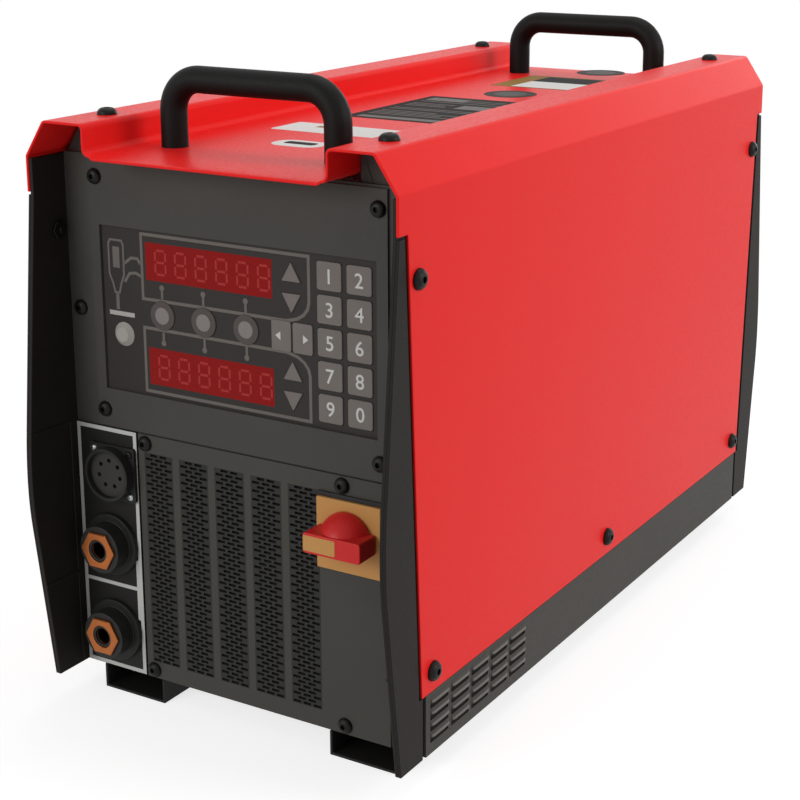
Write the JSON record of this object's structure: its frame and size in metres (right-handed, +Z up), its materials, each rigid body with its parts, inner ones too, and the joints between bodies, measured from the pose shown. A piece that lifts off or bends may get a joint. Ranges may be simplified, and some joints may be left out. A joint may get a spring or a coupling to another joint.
{
  "type": "stud welder",
  "caption": "Inverter stud welding power source: red folded cover with rails and tube handles, grey end frames, keypad, displays, sockets, grille and rotary main switch.",
  "frame": {"origin": "on the ground at the middle of the case's length and width", "axes": "+Z up, +X to the right as seen from the front, front panel facing -Y, +Y along the case's length"},
  "size_m": [0.33, 0.7088, 0.4985],
  "materials": {
    "red_cover": "satin powder coat",
    "grey_sheet": "fine textured powder coat",
    "grey_frame": "fine textured moulding",
    "black_tube": "satin black powder coat",
    "black_screw": "black oxide",
    "overlay": "matt printed film",
    "display_red": "tinted acrylic",
    "lamp": "frosted lens",
    "green_board": "solder mask",
    "key_cap": "matt moulded",
    "socket_black": "moulded",
    "socket_insert": "moulded",
    "brass": "turned",
    "switch_yellow": "satin moulded",
    "switch_red": "satin moulded",
    "steel": "plated",
    "fan_black": "moulded",
    "guard_wire": "plated wire",
    "heatsink_aluminium": "extruded",
    "core_iron": "varnished laminations",
    "copper": "bare and enamelled copper"
  },
  "bodies": {
    "case": {"base_pan": "grey_sheet", "skids": "grey_sheet", "front_frame": "grey_frame", "rear_frame": "grey_frame", "front_wings": "grey_frame", "rear_wings": "grey_frame", "rail_brackets": "grey_sheet", "cover": "red_cover", "front_handle": "black_tube", "rear_handle": "black_tube", "handle_bolts": "black_screw", "cover_screws": "black_screw", "panel_screws": "black_screw", "control_plate": "grey_sheet", "keypad_overlay": "overlay", "display_windows": "display_red", "status_lamp": "lamp", "control_board": "green_board", "grille_panel": "grey_sheet", "connector_plate": "socket_black", "control_socket": "socket_black", "control_insert": "socket_insert", "upper_weld_socket": "socket_black", "lower_weld_socket": "socket_black", "upper_contact": "brass", "lower_contact": "brass", "switch_plate": "switch_yellow", "switch_body": "socket_black", "rear_plate": "grey_sheet", "fan_guard": "guard_wire", "fan_frame": "fan_black", "mains_gland": "socket_black", "heatsink": "heatsink_aluminium", "power_board": "green_board", "transformer": "core_iron", "output_choke": "copper", "busbars": "copper"},
    "main_switch": {"switch_handle": "switch_red", "lock_slide": "switch_yellow", "switch_shaft": "steel"},
    "fan": {"fan_rotor": "fan_black"},
    "key_0_body": {"key_0": "key_cap"},
    "key_1_body": {"key_1": "key_cap"},
    "key_2_body": {"key_2": "key_cap"},
    "key_3_body": {"key_3": "key_cap"},
    "key_4_body": {"key_4": "key_cap"},
    "key_5_body": {"key_5": "key_cap"},
    "key_6_body": {"key_6": "key_cap"},
    "key_7_body": {"key_7": "key_cap"},
    "key_8_body": {"key_8": "key_cap"},
    "key_9_body": {"key_9": "key_cap"},
    "upper_up_key_body": {"upper_up_key": "key_cap"},
    "upper_down_key_body": {"upper_down_key": "key_cap"},
    "lower_up_key_body": {"lower_up_key": "key_cap"},
    "lower_down_key_body": {"lower_down_key": "key_cap"},
    "left_select_key_body": {"left_select_key": "key_cap"},
    "right_select_key_body": {"right_select_key": "key_cap"},
    "left_mode_button_body": {"left_mode_button": "key_cap"},
    "middle_mode_button_body": {"middle_mode_button": "key_cap"},
    "right_mode_button_body": {"right_mode_button": "key_cap"}
  },
  "joints": [
    {"name": "switch_turn", "type": "hinge", "parent": "case", "child": "main_switch", "pos_m": [0.099, -0.303, 0.17702], "axis": [0, 1, 0], "range_deg": [0, 90]},
    {"name": "fan_spin", "type": "hinge", "parent": "case", "child": "fan", "pos_m": [0, 0.28, 0.14], "axis": [0, 1, 0], "continuous": true},
    {"name": "key_0_press", "type": "slide", "parent": "case", "child": "key_0_body", "axis": [0, 1, 0], "range_m": [0, 0.0008], "stiffness_N_per_m": 300},
    {"name": "key_1_press", "type": "slide", "parent": "case", "child": "key_1_body", "axis": [0, 1, 0], "range_m": [0, 0.0008], "stiffness_N_per_m": 300},
    {"name": "key_2_press", "type": "slide", "parent": "case", "child": "key_2_body", "axis": [0, 1, 0], "range_m": [0, 0.0008], "stiffness_N_per_m": 300},
    {"name": "key_3_press", "type": "slide", "parent": "case", "child": "key_3_body", "axis": [0, 1, 0], "range_m": [0, 0.0008], "stiffness_N_per_m": 300},
    {"name": "key_4_press", "type": "slide", "parent": "case", "child": "key_4_body", "axis": [0, 1, 0], "range_m": [0, 0.0008], "stiffness_N_per_m": 300},
    {"name": "key_5_press", "type": "slide", "parent": "case", "child": "key_5_body", "axis": [0, 1, 0], "range_m": [0, 0.0008], "stiffness_N_per_m": 300},
    {"name": "key_6_press", "type": "slide", "parent": "case", "child": "key_6_body", "axis": [0, 1, 0], "range_m": [0, 0.0008], "stiffness_N_per_m": 300},
    {"name": "key_7_press", "type": "slide", "parent": "case", "child": "key_7_body", "axis": [0, 1, 0], "range_m": [0, 0.0008], "stiffness_N_per_m": 300},
    {"name": "key_8_press", "type": "slide", "parent": "case", "child": "key_8_body", "axis": [0, 1, 0], "range_m": [0, 0.0008], "stiffness_N_per_m": 300},
    {"name": "key_9_press", "type": "slide", "parent": "case", "child": "key_9_body", "axis": [0, 1, 0], "range_m": [0, 0.0008], "stiffness_N_per_m": 300},
    {"name": "upper_up_key_press", "type": "slide", "parent": "case", "child": "upper_up_key_body", "axis": [0, 1, 0], "range_m": [0, 0.0008], "stiffness_N_per_m": 300},
    {"name": "upper_down_key_press", "type": "slide", "parent": "case", "child": "upper_down_key_body", "axis": [0, 1, 0], "range_m": [0, 0.0008], "stiffness_N_per_m": 300},
    {"name": "lower_up_key_press", "type": "slide", "parent": "case", "child": "lower_up_key_body", "axis": [0, 1, 0], "range_m": [0, 0.0008], "stiffness_N_per_m": 300},
    {"name": "lower_down_key_press", "type": "slide", "parent": "case", "child": "lower_down_key_body", "axis": [0, 1, 0], "range_m": [0, 0.0008], "stiffness_N_per_m": 300},
    {"name": "left_select_key_press", "type": "slide", "parent": "case", "child": "left_select_key_body", "axis": [0, 1, 0], "range_m": [0, 0.0008], "stiffness_N_per_m": 300},
    {"name": "right_select_key_press", "type": "slide", "parent": "case", "child": "right_select_key_body", "axis": [0, 1, 0], "range_m": [0, 0.0008], "stiffness_N_per_m": 300},
    {"name": "left_mode_button_press", "type": "slide", "parent": "case", "child": "left_mode_button_body", "axis": [0, 1, 0], "range_m": [0, 0.0008], "stiffness_N_per_m": 300},
    {"name": "middle_mode_button_press", "type": "slide", "parent": "case", "child": "middle_mode_button_body", "axis": [0, 1, 0], "range_m": [0, 0.0008], "stiffness_N_per_m": 300},
    {"name": "right_mode_button_press", "type": "slide", "parent": "case", "child": "right_mode_button_body", "axis": [0, 1, 0], "range_m": [0, 0.0008], "stiffness_N_per_m": 300}
  ]
}
